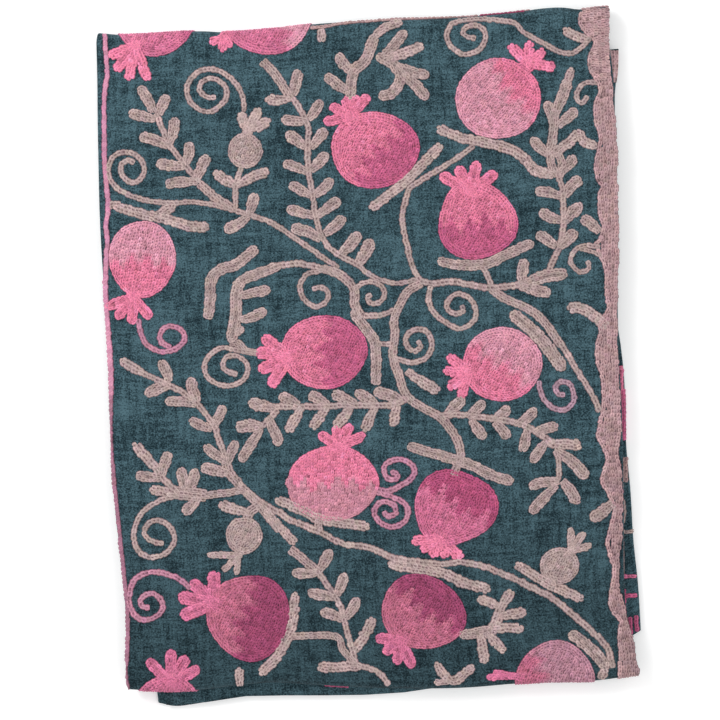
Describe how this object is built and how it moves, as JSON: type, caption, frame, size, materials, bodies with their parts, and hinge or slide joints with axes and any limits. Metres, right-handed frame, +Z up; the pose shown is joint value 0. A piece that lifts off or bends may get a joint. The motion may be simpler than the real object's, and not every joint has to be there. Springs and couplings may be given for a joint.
{
  "type": "folded suzani embroidered cloth",
  "caption": "Teal cotton cloth chain-stitched with pink pomegranates and beige vines, folded twice into a flat rectangular packet with its banded edge on top.",
  "frame": {"origin": "on the resting plane, under the middle of the packet's box", "axes": "+Z up through the layers, +Y along the packet to its top fold, +X to the long free edge with the stitched band"},
  "size_m": [0.369, 0.4754, 0.0154],
  "materials": {
    "cloth": "matte plain weave"
  },
  "bodies": {
    "root": {"folded_cloth": "cloth"}
  },
  "joints": []
}
